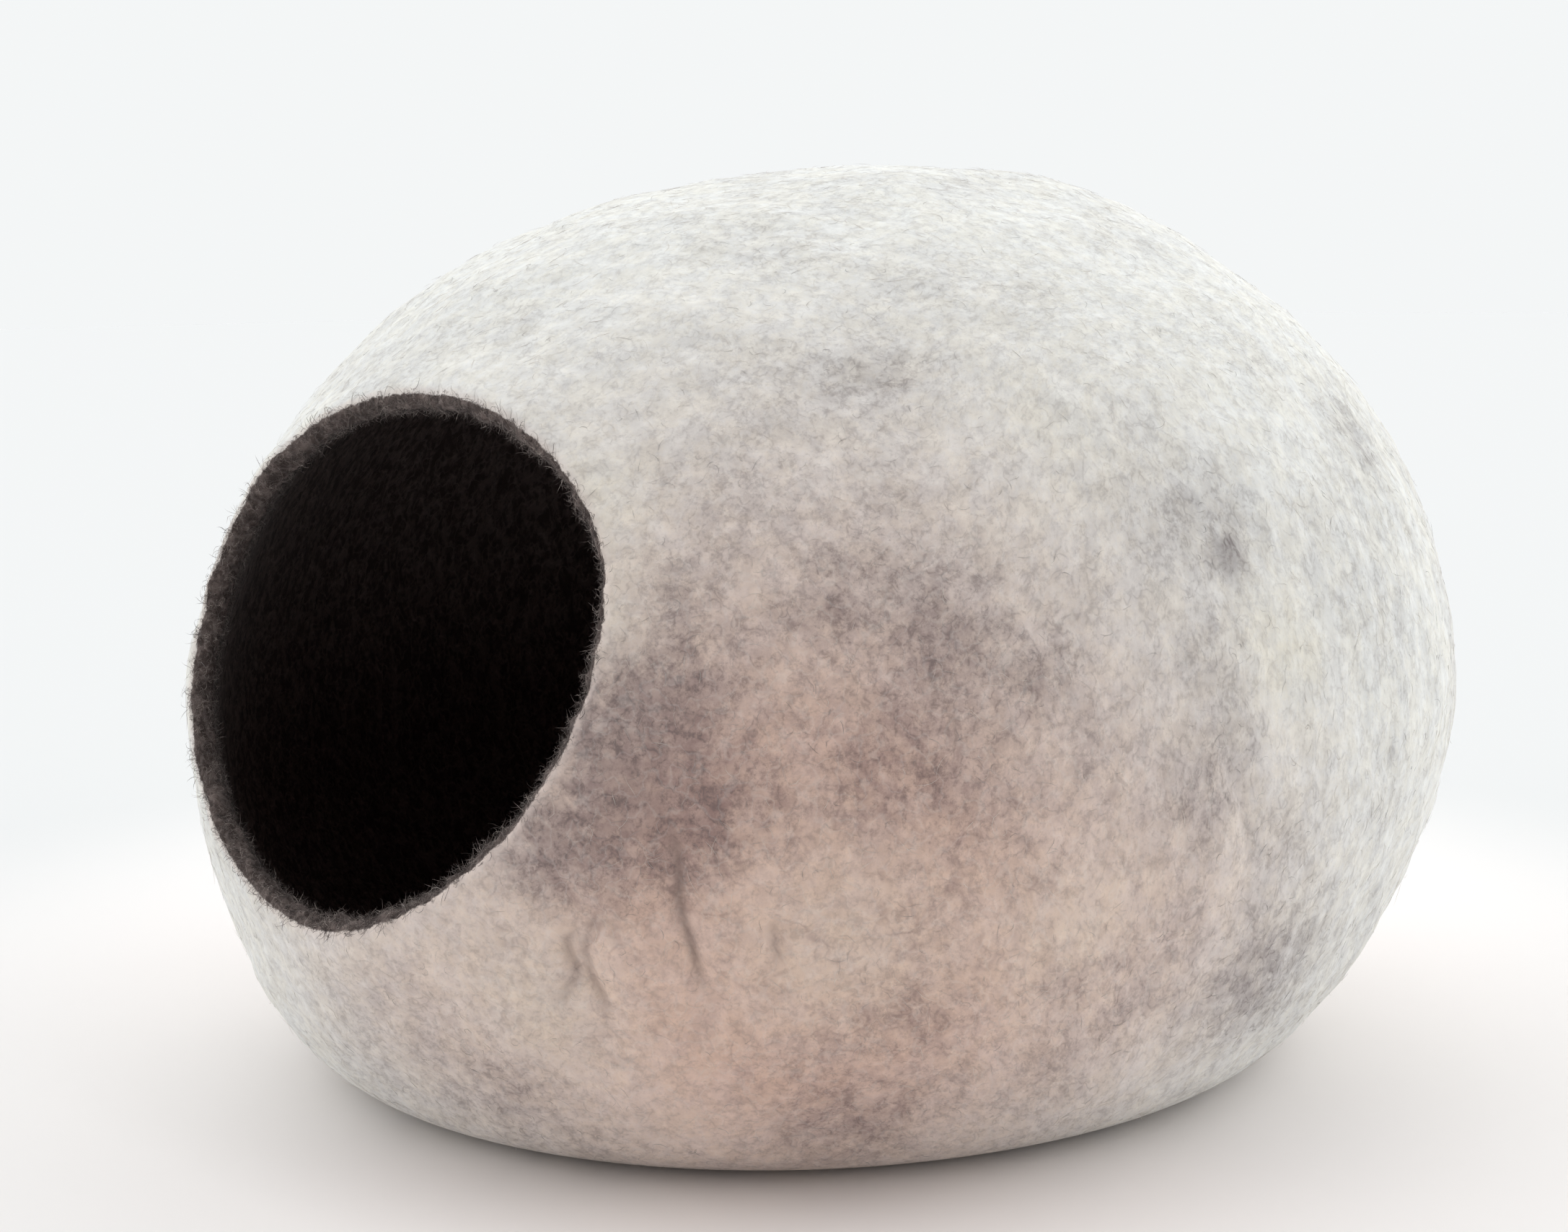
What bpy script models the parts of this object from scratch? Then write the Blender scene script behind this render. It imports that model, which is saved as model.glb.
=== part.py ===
"""Felt cat cave: one seamless shell of wet-felted wool with an oval entrance.

Metres, +Z up. The origin is on the floor, at the middle of the shell's bounding box.
The entrance faces -Y and +X is the shell's right-hand side, seen from behind it.

The shell is a pebble form that stands flattened on its base. It is drawn as spokes that
run from the entrance's edge over the outer skin to a pole at the back, round a rolled lip
at the entrance, and back along the inner skin to a second pole.
"""

import bmesh
import bpy
import numpy as np

# Body: how far the pebble form reaches from its centre.
CENTRE_HEIGHT = 0.131
HALF_WIDTH = 0.2304
FRONT_REACH = 0.2410
BACK_REACH = 0.2370
HALF_HEIGHT = 0.1946
PROFILE_POWER = 2.064
REAR_WIDENING = 0.12
REAR_RISE = 0.060
BASE_BLEND = 0.018

# Wall: pale outer wool and charcoal inner wool, felted into one thickness.
WALL = 0.009
LIP_FLARE = 0.0028
LIP_FLARE_REACH = 0.016

# Entrance: an oval cut, measured on a plane that lies ENTRANCE_PLANE from the centre.
ENTRANCE_TILT = np.radians(16.0)
ENTRANCE_PLANE = 0.210
ENTRANCE_HALF_WIDTH = 0.1060
ENTRANCE_RISE = 0.0717
ENTRANCE_DROP = 0.0957

# Wobble of the cut edge: angle round the entrance in degrees, 0 on the right-hand side and
# -90 at the bottom, the stretch of edge in degrees, and how far the edge moves outwards.
EDGE_WOBBLES = [
    ("kink on the right", -12.0, 7.0, 0.0007),
    ("tight lower right", -50.0, 14.0, -0.0013),
    ("slack bottom", -88.0, 15.0, 0.0013),
    ("tight left", 186.0, 24.0, -0.0018),
    ("slack upper left", 130.0, 22.0, 0.0010),
]

# Swells and hollows. Bearing 0 looks out of the entrance, 90 to the right-hand side and
# 180 to the back. Elevation 90 is the crown. Both are in degrees from the body's centre.
SWELLS = [
    # name, bearing, elevation, radius, height
    ("crown, rear right", 129.0, 61.0, 0.048, 0.0030),
    ("shoulder, rear right", 113.0, 31.0, 0.060, -0.0022),
    ("flank, rear right", 118.0, -1.0, 0.040, 0.0022),
    ("foot, right", 102.0, -18.0, 0.030, -0.0038),
    ("crown, front", 4.0, 74.0, 0.055, -0.0020),
    ("brow, left", -42.0, 50.0, 0.045, 0.0018),
    ("foot, front", 5.0, -24.0, 0.030, -0.0030),
    ("foot, front right", 43.0, -26.0, 0.035, -0.0013),
    ("below the entrance, left", -18.0, -10.0, 0.030, -0.0022),
    ("cheek, right", 46.0, 10.0, 0.070, 0.0015),
    ("cheek, left", -52.0, 14.0, 0.060, -0.0018),
    ("flank, left", -98.0, 4.0, 0.070, 0.0024),
    ("shoulder, rear left", -135.0, 38.0, 0.060, -0.0026),
    ("back", 176.0, 8.0, 0.070, 0.0020),
    ("foot, rear left", -150.0, -16.0, 0.045, -0.0022),
    ("foot, rear right", 152.0, -15.0, 0.040, -0.0015),
]

# Soft creases pressed into the outer skin, by the bearing and elevation of their points.
CREASES = [
    # name, half width, depth, route
    ("long crease", 0.0085, 0.0024, [(33, 5), (34, 0), (34, -5), (35, -8), (36, -13)]),
    ("hooked crease", 0.0070, 0.0018, [(31, -5), (29, -4), (27, -6), (26, -9), (27, -13)]),
    ("bowed crease", 0.0070, 0.0016, [(26, -4), (25, -7), (24, -11), (21, -14)]),
    ("short crease", 0.0070, 0.0012, [(37, -2), (39, -5), (41, -8)]),
    ("rear pleat", 0.0080, 0.0018, [(76, 2), (78, -4), (79, -12)]),
    ("left crease", 0.0085, 0.0018, [(-46, -2), (-50, -8), (-52, -14)]),
    ("back crease", 0.0090, 0.0018, [(160, 30), (166, 22), (168, 13)]),
]

# Mesh steps. The spokes stand closer together where the creases lie.
SPOKES = 92
OUTER_RINGS = 36
INNER_RINGS = 12
LIP_STEPS = 5
SPOKE_CROWDING = 0.40
CROWDED_ANGLE = np.radians(-48.0)
RING_CROWDING = 1.30

# Height above the floor over which dents fade in, so that the base stays flat.
BASE_EDGE = (0.004, 0.026)

PALE_WOOL = (0.72, 0.70, 0.68, 1.0)
CHARCOAL_WOOL = (0.022, 0.020, 0.020, 1.0)


def unit(vectors):
    """Vectors at length one."""
    return vectors / np.linalg.norm(vectors, axis=-1, keepdims=True)


def toward(bearing, elevation):
    """Direction from the body's centre, from a bearing and an elevation in degrees."""
    bearing = np.radians(bearing)
    elevation = np.radians(elevation)
    level = np.cos(elevation)
    return np.stack([level * np.sin(bearing), -level * np.cos(bearing), np.sin(elevation)], -1)


def settle(height):
    """Height of the skin once its underside has settled flat on the floor."""
    blended = (height + BASE_BLEND) ** 2 / (4.0 * BASE_BLEND)
    return np.where(height < -BASE_BLEND, 0.0, np.where(height > BASE_BLEND, height, blended))


def pebble(direction):
    """Point of the smooth form, without swells or creases, along each direction."""
    reach = np.where(direction[..., 1] < 0.0, FRONT_REACH, BACK_REACH)
    plan = np.hypot(direction[..., 0] / HALF_WIDTH, direction[..., 1] / reach)
    rise = np.abs(direction[..., 2] / HALF_HEIGHT)
    radius = (plan ** PROFILE_POWER + rise ** PROFILE_POWER) ** (-1.0 / PROFILE_POWER)
    across, along, height = np.moveaxis(direction * radius[..., None], -1, 0)
    across = across * (1.0 + REAR_WIDENING * along)
    height = settle(height + REAR_RISE * along + CENTRE_HEIGHT)
    return np.stack([across, along, height], -1)


def outward(direction):
    """Outward normal of the smooth form along each direction."""
    step = 1e-3
    side = unit(np.cross(direction, direction[..., [1, 2, 0]]))
    other = np.cross(direction, side)
    along_side = pebble(unit(direction + step * side)) - pebble(unit(direction - step * side))
    along_other = pebble(unit(direction + step * other)) - pebble(unit(direction - step * other))
    return unit(np.cross(along_side, along_other))


def above_base(point):
    """0 on the flat base and 1 on the walls."""
    low, high = BASE_EDGE
    share = np.clip((point[..., 2] - low) / (high - low), 0.0, 1.0)
    return share * share * (3.0 - 2.0 * share)


def swelling(point):
    """How far the broad swells move the skin outwards."""
    total = np.zeros(point.shape[:-1])
    for _name, bearing, elevation, radius, height in SWELLS:
        gap = np.linalg.norm(point - pebble(toward(bearing, elevation)), axis=-1)
        total += height * np.exp(-(gap / radius) ** 2)
    return total * above_base(point)


def distance_to_route(point, corners):
    """Distance from each point to a route of straight runs."""
    nearest = np.full(point.shape[:-1], np.inf)
    for start, end in zip(corners[:-1], corners[1:]):
        run = end - start
        share = np.clip(((point - start) @ run) / (run @ run), 0.0, 1.0)
        gap = np.linalg.norm(point - start - share[..., None] * run, axis=-1)
        nearest = np.minimum(nearest, gap)
    return nearest


def creasing(point):
    """Depth of the soft creases."""
    total = np.zeros(point.shape[:-1])
    for _name, half_width, depth, route in CREASES:
        corners = pebble(toward(*np.array(route, float).T))
        total += depth * np.exp(-(distance_to_route(point, corners) / half_width) ** 2)
    return total * above_base(point)


def entrance_axes():
    """The entrance's own axes: out of it, to its right-hand side, and up its plane."""
    out = np.array([0.0, -np.cos(ENTRANCE_TILT), np.sin(ENTRANCE_TILT)])
    right = np.array([1.0, 0.0, 0.0])
    return out, right, np.cross(out, right)


def spoke_angles():
    """Angle of each spoke round the entrance, closer together near the creases."""
    even = np.linspace(0.0, 2.0 * np.pi, SPOKES, endpoint=False)
    return even - SPOKE_CROWDING * np.sin(even - CROWDED_ANGLE)


def edge_directions(angles):
    """Directions from the body's centre to the cut edge of the outer skin."""
    out, right, up = entrance_axes()
    moved = np.zeros_like(angles)
    for _name, middle, stretch, amount in EDGE_WOBBLES:
        away = (np.degrees(angles) - middle + 180.0) % 360.0 - 180.0
        moved += amount * np.exp(-(away / stretch) ** 2)
    half_height = np.where(np.sin(angles) > 0.0, ENTRANCE_RISE, ENTRANCE_DROP)
    across = (ENTRANCE_HALF_WIDTH + moved) * np.cos(angles)
    upward = (half_height + moved) * np.sin(angles)
    return unit(ENTRANCE_PLANE * out + across[:, None] * right + upward[:, None] * up)


def spoke_directions(angles, rings):
    """Directions along every spoke, from the cut edge to just short of the back pole."""
    out, right, up = entrance_axes()
    edge = edge_directions(angles)
    opening = np.arccos(edge @ out)
    turn = np.arctan2(edge @ up, edge @ right)
    share = (np.arange(rings) / rings) ** RING_CROWDING
    bend = opening[None, :] + (np.pi - opening[None, :]) * share[:, None]
    sideways = np.cos(turn)[:, None] * right + np.sin(turn)[:, None] * up
    return np.cos(bend)[..., None] * out + np.sin(bend)[..., None] * sideways


def flare(point, edge_point):
    """How far the lip turns outwards, fading away from the cut edge."""
    gap = np.linalg.norm(point - edge_point, axis=-1)
    return LIP_FLARE * np.exp(-(gap / LIP_FLARE_REACH) ** 2)


def outer_skin(direction, edge_point):
    """Points of the pale outside."""
    point = pebble(direction)
    lift = swelling(point) - creasing(point) + flare(point, edge_point)
    return point + outward(direction) * lift[..., None]


def inner_skin(direction, edge_point):
    """Points of the charcoal inside, one wall in from the outside."""
    point = pebble(direction)
    lift = swelling(point) + flare(point, edge_point) - WALL
    return point + outward(direction) * lift[..., None]


def rolled_lip(outer_edge, inner_edge, outer_next):
    """Rings of the rounded lip between the outer and the inner cut edge."""
    middle = (outer_edge + inner_edge) / 2.0
    thick = (outer_edge - inner_edge) / 2.0
    ahead = unit(outer_edge - outer_next) * np.linalg.norm(thick, axis=-1, keepdims=True)
    turns = np.pi * np.arange(1, LIP_STEPS) / LIP_STEPS
    return [middle + np.cos(turn) * thick + np.sin(turn) * ahead for turn in turns]


def shell_rings():
    """All rings of the shell, from the outer back pole round to the inner back pole."""
    angles = spoke_angles()
    edge_point = pebble(edge_directions(angles))
    outer = outer_skin(spoke_directions(angles, OUTER_RINGS), edge_point)
    inner = inner_skin(spoke_directions(angles, INNER_RINGS), edge_point)
    lip = rolled_lip(outer[0], inner[0], outer[1])
    return list(outer[::-1]) + lip + list(inner)


def back_poles():
    """The outer and the inner point at the back where the spokes meet."""
    out, _right, _up = entrance_axes()
    back = -out[None, :]
    far_edge = np.array([[0.0, -FRONT_REACH, CENTRE_HEIGHT]])
    return outer_skin(back, far_edge)[0], inner_skin(back, far_edge)[0]


def to_floor_middle(points):
    """Move that puts the bounding box's bottom middle on the origin."""
    low = points.min(axis=0)
    high = points.max(axis=0)
    return np.array([(low[0] + high[0]) / 2.0, (low[1] + high[1]) / 2.0, low[2]])


def wool(name, colour):
    """A matt felted wool."""
    material = bpy.data.materials.new(name)
    material.use_nodes = True
    shader = material.node_tree.nodes["Principled BSDF"]
    shader.inputs["Base Color"].default_value = colour
    shader.inputs["Roughness"].default_value = 0.95
    shader.inputs["Metallic"].default_value = 0.0
    return material


def build_shell():
    """The shell as one closed mesh."""
    rings = shell_rings()
    outer_pole, inner_pole = back_poles()
    shift = to_floor_middle(np.concatenate(rings))
    model = bmesh.new()
    rows = [[model.verts.new(point - shift) for point in ring] for ring in rings]
    first_pole = model.verts.new(outer_pole - shift)
    last_pole = model.verts.new(inner_pole - shift)
    first_dark_row = OUTER_RINGS - 1
    for row, (ring, following) in enumerate(zip(rows[:-1], rows[1:])):
        for spoke in range(SPOKES):
            after = (spoke + 1) % SPOKES
            face = model.faces.new((ring[spoke], ring[after], following[after], following[spoke]))
            face.material_index = int(row >= first_dark_row)
    for spoke in range(SPOKES):
        after = (spoke + 1) % SPOKES
        model.faces.new((first_pole, rows[0][after], rows[0][spoke]))
        dark = model.faces.new((last_pole, rows[-1][spoke], rows[-1][after]))
        dark.material_index = 1
    bmesh.ops.recalc_face_normals(model, faces=model.faces)
    mesh = bpy.data.meshes.new("felt_shell")
    model.to_mesh(mesh)
    model.free()
    mesh.shade_smooth()
    mesh.materials.append(wool("pale_wool", PALE_WOOL))
    mesh.materials.append(wool("charcoal_wool", CHARCOAL_WOOL))
    shell = bpy.data.objects.new("felt_shell", mesh)
    bpy.context.scene.collection.objects.link(shell)
    return shell


for leftover in list(bpy.data.objects):
    bpy.data.objects.remove(leftover, do_unlink=True)

build_shell()
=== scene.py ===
"""Looks of the felt cat cave: a thick wet-felted wool shell with its loose surface fibres.

Metres, +Z up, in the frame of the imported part. The entrance faces -Y. The shell is drawn
again from the part's own sizes, with a finer mesh, sharper creases and a soft unevenness.
Fibres of wool are then laid over the outer skin, the cut edge and the inside.
"""

import bpy
import numpy as np
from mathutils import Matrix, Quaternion, Vector


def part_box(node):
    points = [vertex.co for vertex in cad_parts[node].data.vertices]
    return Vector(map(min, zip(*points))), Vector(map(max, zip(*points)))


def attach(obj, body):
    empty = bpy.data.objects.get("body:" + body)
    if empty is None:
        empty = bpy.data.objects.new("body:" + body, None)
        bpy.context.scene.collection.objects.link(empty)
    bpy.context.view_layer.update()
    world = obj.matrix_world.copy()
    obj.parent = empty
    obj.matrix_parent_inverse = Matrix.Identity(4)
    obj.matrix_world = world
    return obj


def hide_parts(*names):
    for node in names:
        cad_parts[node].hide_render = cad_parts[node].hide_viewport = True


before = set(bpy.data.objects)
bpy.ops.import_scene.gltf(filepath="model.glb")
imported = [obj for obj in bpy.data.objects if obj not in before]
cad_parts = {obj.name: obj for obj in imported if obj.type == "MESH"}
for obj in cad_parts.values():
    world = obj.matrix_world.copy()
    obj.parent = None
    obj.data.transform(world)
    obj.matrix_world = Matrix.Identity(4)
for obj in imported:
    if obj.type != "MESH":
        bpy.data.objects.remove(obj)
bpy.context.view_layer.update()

# ---------------------------------------------------------------- sizes of the shell

# Body: how far the pebble form reaches from its centre.
CENTRE_HEIGHT = 0.131
HALF_WIDTH = 0.2304
FRONT_REACH = 0.2410
BACK_REACH = 0.2370
HALF_HEIGHT = 0.1946

# How square its sections are (2 is an ellipse), and how much wider and higher it gets for
# each metre towards the rear.
PROFILE_POWER = 2.064
REAR_WIDENING = 0.12
REAR_RISE = 0.060

# Half the height over which the flat base blends into the sides, and the heights between
# which swells, creases and unevenness come in above it.
BASE_BLEND = 0.018
BASE_EDGE = (0.004, 0.026)

# Wall, and how the lip turns outwards at the entrance.
WALL = 0.009
LIP_FLARE = 0.0028
LIP_FLARE_REACH = 0.016

# Entrance: an oval cut, measured on a plane that lies ENTRANCE_PLANE from the centre.
ENTRANCE_TILT = np.radians(16.0)
ENTRANCE_PLANE = 0.210
ENTRANCE_HALF_WIDTH = 0.1060
ENTRANCE_RISE = 0.0717
ENTRANCE_DROP = 0.0957

EDGE_WOBBLES = [
    # name, angle round the entrance, stretch of edge in degrees, how far the edge moves out
    ("kink on the right", -12.0, 7.0, 0.0007),
    ("tight lower right", -50.0, 14.0, -0.0013),
    ("slack bottom", -88.0, 15.0, 0.0013),
    ("tight left", 186.0, 24.0, -0.0018),
    ("slack upper left", 130.0, 22.0, 0.0010),
]

# Bearing 0 looks out of the entrance, 90 to the right-hand side and 180 to the back.
# Elevation 90 is the crown. Both are in degrees from the body's centre.
SWELLS = [
    # name, bearing, elevation, radius, height
    ("crown, rear right", 129.0, 61.0, 0.048, 0.0030),
    ("shoulder, rear right", 113.0, 31.0, 0.060, -0.0022),
    ("flank, rear right", 118.0, -1.0, 0.040, 0.0022),
    ("foot, right", 102.0, -18.0, 0.030, -0.0038),
    ("crown, front", 4.0, 74.0, 0.055, -0.0020),
    ("brow, left", -42.0, 50.0, 0.045, 0.0018),
    ("foot, front", 5.0, -24.0, 0.030, -0.0030),
    ("foot, front right", 43.0, -26.0, 0.035, -0.0013),
    ("below the entrance, left", -18.0, -10.0, 0.030, -0.0022),
    ("cheek, right", 46.0, 10.0, 0.070, 0.0015),
    ("cheek, left", -52.0, 14.0, 0.060, -0.0018),
    ("flank, left", -98.0, 4.0, 0.070, 0.0024),
    ("shoulder, rear left", -135.0, 38.0, 0.060, -0.0026),
    ("back", 176.0, 8.0, 0.070, 0.0020),
    ("foot, rear left", -150.0, -16.0, 0.045, -0.0022),
    ("foot, rear right", 152.0, -15.0, 0.040, -0.0015),
]

CREASES = [
    # name, half width, depth, share of painted shade in its core, route of (bearing, elevation)
    ("long crease", 0.0075, 0.0024, 1.00,
     [(32, 4), (33.2, 0), (33.3, -4), (33.9, -7), (34.3, -9), (35, -13)]),
    ("hooked crease", 0.0060, 0.0016, 0.60,
     [(30, -6), (28, -5), (26.4, -6), (26, -9), (27, -12), (26, -16)]),
    ("bowed crease", 0.0060, 0.0014, 0.65,
     [(26, -4.6), (24.6, -7), (25, -9), (24, -11), (22, -13)]),
    ("short crease", 0.0060, 0.0010, 0.55, [(40, -5), (40, -7), (40.4, -9)]),
    ("rear pleat", 0.0080, 0.0008, 0.10, [(76, 2), (78, -4), (79, -12)]),
    ("left crease", 0.0085, 0.0018, 0.60, [(-46, -2), (-50, -8), (-52, -14)]),
    ("back crease", 0.0090, 0.0018, 0.50, [(160, 30), (166, 22), (168, 13)]),
]

# The sharp core of every crease: half width, depth, and the share of the route over which
# it fades out at either end.
CREASE_CORE = 0.0016
CREASE_CORE_DEPTH = 0.0011
CREASE_ENDS = 0.30

# Unevenness of the hand-felted skin: spacing of the waves, how far they move it, seed. The
# inner side has a share of it. On the rubbed flanks more waves are drawn out upright.
RELIEF = [
    (0.070, 0.00055, 11),
    (0.026, 0.00026, 12),
    (0.011, 0.00013, 13),
]
INNER_RELIEF_SHARE = 0.5
STREAK_RELIEF = (0.010, 0.00015, 14)
STREAK_STRETCH = 4.0

# Number of waves in each, and between which shares of the spacing their lengths lie.
WAVES = 40
WAVE_LENGTHS = (0.7, 1.5)

# Unevenness of the cut edge: spacing of the lumps, share of the lip's thickness, seed.
LIP_LUMPS = [
    (0.0120, 0.10, 15),
    (0.0050, 0.07, 16),
]

# Mesh steps. The spokes stand closer together where the creases lie, and the rings where
# the entrance is.
SPOKES = 384
SPOKE_CROWDING = 0.40
CROWDED_ANGLE = np.radians(-48.0)
OUTER_RINGS = 190
INNER_RINGS = 44
RING_CROWDING = 1.30
LIP_STEPS = 14
LIP_TURNS = np.pi * np.arange(1, LIP_STEPS) / LIP_STEPS
FIRST_INNER_RING = OUTER_RINGS + LIP_STEPS - 1
ALL_RINGS = FIRST_INNER_RING + INNER_RINGS

# The charcoal wool starts and is full this far round the lip, from the outer side.
CHARCOAL_STARTS = np.radians(18.0)
CHARCOAL_FULL = np.radians(50.0)

# Rings, counted from the outer cut edge: between which both wools can show, where the painted
# highlight along the lip is full, and between which the charcoal wool inside is painted lighter,
# as if lit through the entrance.
BOTH_WOOLS_RINGS = (-4, 5)
LIP_HIGHLIGHT_RING = 1
INNER_LIGHT_RINGS = (7, 14)

# ---------------------------------------------------------------- colour of the wool

GREY_PATCHES = [
    # name, bearing, elevation, radius, share of grey fibre
    ("middle, broad", 45.0, 10.0, 0.074, 0.22),
    ("beside the entrance, broad", 29.5, 6.0, 0.028, 0.68),
    ("beside the entrance, high", 31.0, 8.5, 0.014, 1.05),
    ("beside the entrance", 31.5, 3.5, 0.012, 0.80),
    ("beside the entrance, low", 31.2, -0.5, 0.011, 0.82),
    ("under the lip", 24.0, 0.5, 0.016, 0.85),
    ("cheek, low", 37.0, 2.5, 0.014, 0.52),
    ("cheek", 36.0, 6.5, 0.014, 0.28),
    ("cheek, high", 34.0, 19.0, 0.012, 0.20),
    ("above the cheek", 33.5, 14.0, 0.017, 0.42),
    ("by the lip, high", 28.0, 26.0, 0.026, 0.16),
    ("middle", 50.0, 14.0, 0.018, 0.50),
    ("middle, right", 60.0, 11.0, 0.012, 0.60),
    ("middle, low", 51.0, 5.0, 0.013, 0.45),
    ("middle, low left", 47.0, 5.0, 0.009, 0.40),
    ("middle, high", 45.0, 17.0, 0.014, 0.45),
    ("middle, high right", 48.0, 22.0, 0.016, 0.42),
    ("flank, front", 55.5, 17.0, 0.014, 0.42),
    ("flank, low", 62.0, 5.0, 0.018, 0.12),
    ("flank, low front", 58.0, -1.0, 0.016, 0.35),
    ("flank, right", 97.0, -5.0, 0.016, 0.32),
    ("shoulder, front", 49.0, 36.0, 0.016, 0.48),
    ("right side", 77.0, 20.0, 0.017, 0.36),
    ("right side, middle", 74.5, 10.0, 0.018, 0.34),
    ("right side, far", 78.5, 17.5, 0.007, 0.80),
    ("right side, low", 76.0, 3.0, 0.013, 0.60),
    ("right side, low front", 73.0, -1.0, 0.011, 0.60),
    ("right side, below", 81.0, -5.0, 0.015, 0.35),
    ("right side, rear", 108.0, 25.0, 0.014, 0.60),
    ("right foot", 84.0, -18.0, 0.026, 0.86),
    ("right foot, front", 66.0, -15.0, 0.032, 0.42),
    ("front foot, middle", 49.0, -13.0, 0.024, 0.34),
    ("front foot", 47.0, -25.0, 0.024, 0.45),
    ("below the entrance", 16.0, -24.0, 0.026, 0.45),
    ("front, low left", -4.0, -13.0, 0.055, 0.08),
    ("left cheek", -38.0, 6.0, 0.024, 0.45),
    ("left side, high", -70.0, 34.0, 0.030, 0.40),
    ("left side", -88.0, 8.0, 0.022, 0.65),
    ("left side, front", -72.0, 14.0, 0.060, 0.30),
    ("left side, rear", -118.0, 20.0, 0.030, 0.45),
    ("left foot", -76.0, -17.0, 0.028, 0.50),
    ("back, left", -150.0, 6.0, 0.030, 0.45),
    ("back, high", 172.0, 44.0, 0.034, 0.40),
    ("back", 160.0, 14.0, 0.024, 0.70),
    ("back, broad", 168.0, 10.0, 0.070, 0.30),
    ("rear, whole", -140.0, 16.0, 0.150, 0.70),
    ("back, right", 134.0, 4.0, 0.028, 0.50),
    ("back foot", 178.0, -16.0, 0.030, 0.50),
    ("crown, rear", 140.0, 70.0, 0.034, 0.30),
    ("crown, left", -80.0, 66.0, 0.030, 0.35),
]

CREAM_PATCHES = [
    # name, bearing, elevation, radius, share of clean cream fibre
    ("right side", 83.0, 10.0, 0.018, 0.90),
    ("shoulder, front", 66.0, 30.0, 0.024, 0.40),
    ("by the lip, high", 24.0, 25.0, 0.020, 0.70),
    ("by the lip", 27.0, 16.0, 0.014, 0.60),
    ("below the entrance", 22.0, -12.0, 0.030, 0.55),
    ("front, low", 45.0, -8.0, 0.034, 0.50),
    ("front, right", 62.0, -9.0, 0.030, 0.45),
    ("left side", -60.0, -4.0, 0.034, 0.60),
    ("left, rear", -130.0, -4.0, 0.036, 0.60),
    ("back", 170.0, 28.0, 0.034, 0.55),
]

# Where the fibres were rubbed upright: the bearings of the two flanks, how far they reach to
# either side and how softly they fade, in degrees.
STREAK_MIDDLES = (98.0, -104.0)
STREAK_HALF = 22.0
STREAK_FADE = 28.0

# The height where the upright fibres start to give way to the crown's, and how softly.
STREAK_TOP = 0.245
STREAK_TOP_FADE = 0.050

# The colour is drawn out there by this share, up and down from this height.
STREAK_DRAW = 0.28
STREAK_LEVEL = 0.130

# Broad areas of warmer, beige wool, partly painted warm shade on the shaded front and foot. The
# rest is nearly white.
WARM_AND_SHADE_TINT_PATCHES = [
    # name, bearing, elevation, radius, share of warm fibre and painted warm shade
    ("front right", 42.0, 4.0, 0.110, 0.80),
    ("front right, low", 42.0, -8.0, 0.075, 0.35),
    ("foot, front right", 40.0, -24.0, 0.085, 0.38),
    ("flank, low right", 69.0, -11.0, 0.062, 0.38),
    ("below the entrance", 11.0, -13.0, 0.060, 0.34),
    ("left flank", -80.0, -4.0, 0.105, 0.40),
    ("back", 168.0, -4.0, 0.115, 0.40),
]

# Colours of the wool.
WHITE_WOOL = (0.850, 0.857, 0.836)
WARM_WOOL_AND_SHADE_TINT = (0.822, 0.600, 0.510)
CREAM_WOOL = (0.830, 0.795, 0.690)
SHADE_WOOL = (0.300, 0.198, 0.184)
COOL_SHADE_WOOL = (0.288, 0.270, 0.275)
GREY_WOOL = (0.148, 0.119, 0.116)
# Painted shade: the dark colour laid along the cores of the creases, where shade falls.
CREASE_SHADE_COLOUR = (0.260, 0.190, 0.170)
# Colour of the painted highlight along the lip's crest.
LIP_HIGHLIGHT_COLOUR = (0.800, 0.700, 0.660)
CHARCOAL_WOOL = (0.066, 0.049, 0.045)
CHARCOAL_LIGHT = (0.165, 0.130, 0.120)
ASH_WOOL = (0.300, 0.250, 0.235)

# Painted light: the charcoal wool is painted lighter inside than at the cut edge, standing in for
# light that comes in at the entrance.
EDGE_TINT = (1.00, 1.00, 1.00)
INNER_PAINTED_LIGHT = (1.70, 1.65, 1.68)

# Tints of the locks of slightly bluer and slightly creamier wool.
BLUE_LOCK = (0.986, 1.000, 1.014)
CREAM_LOCK = (1.008, 1.000, 0.966)

# How strongly each part of the marl shows, in clean wool and in full grey patches.
MARL_AMOUNT = (0.16, 0.66)
TUFT_AMOUNT = (0.13, 0.32)
STROKE_AMOUNT = (0.20, 0.60)

# How strongly the marl shows in white and in warm wool.
MARL_BY_WARMTH = (0.72, 1.20)

# How strongly the other parts of the colour show.
VEIL_AMOUNT = 0.60
VEIN_AMOUNT = 0.26
PALE_STROKE_AMOUNT = 0.10
CREAM_AMOUNT = 0.60
CREASE_SHADE_AMOUNT = 0.75
ASH_AMOUNT = 0.35

# Share of grey fibre that a full patch of cream wool clears away.
CREAM_CLEARS = 0.40

# Painted highlight: the smooth pale band beside the charcoal edge, where the lip's rounded crest
# catches the light: how wide and how strong it is.
LIP_HIGHLIGHT_WIDTH = 0.0018
LIP_HIGHLIGHT_AMOUNT = 0.50

# How far the charcoal's border wanders in and out.
RAGGED_AMOUNT = 1.3

# Noise in the wool: spacing, detail and roughness.
LOCK_NOISE = (0.0110, 4.0, 0.80)
CLOUD_NOISE = (0.0180, 4.0, 0.75)
DRIFT_NOISE = (0.0600, 1.0)
MARL_NOISE = (0.0068, 4.0, 0.88)
CURL_NOISE = (0.0060, 4.0, 0.80)
RAGGED_NOISE = (0.0026, 3.0, 0.70)
BUMP_NOISE = (0.0052, 2.5, 0.62)

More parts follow.
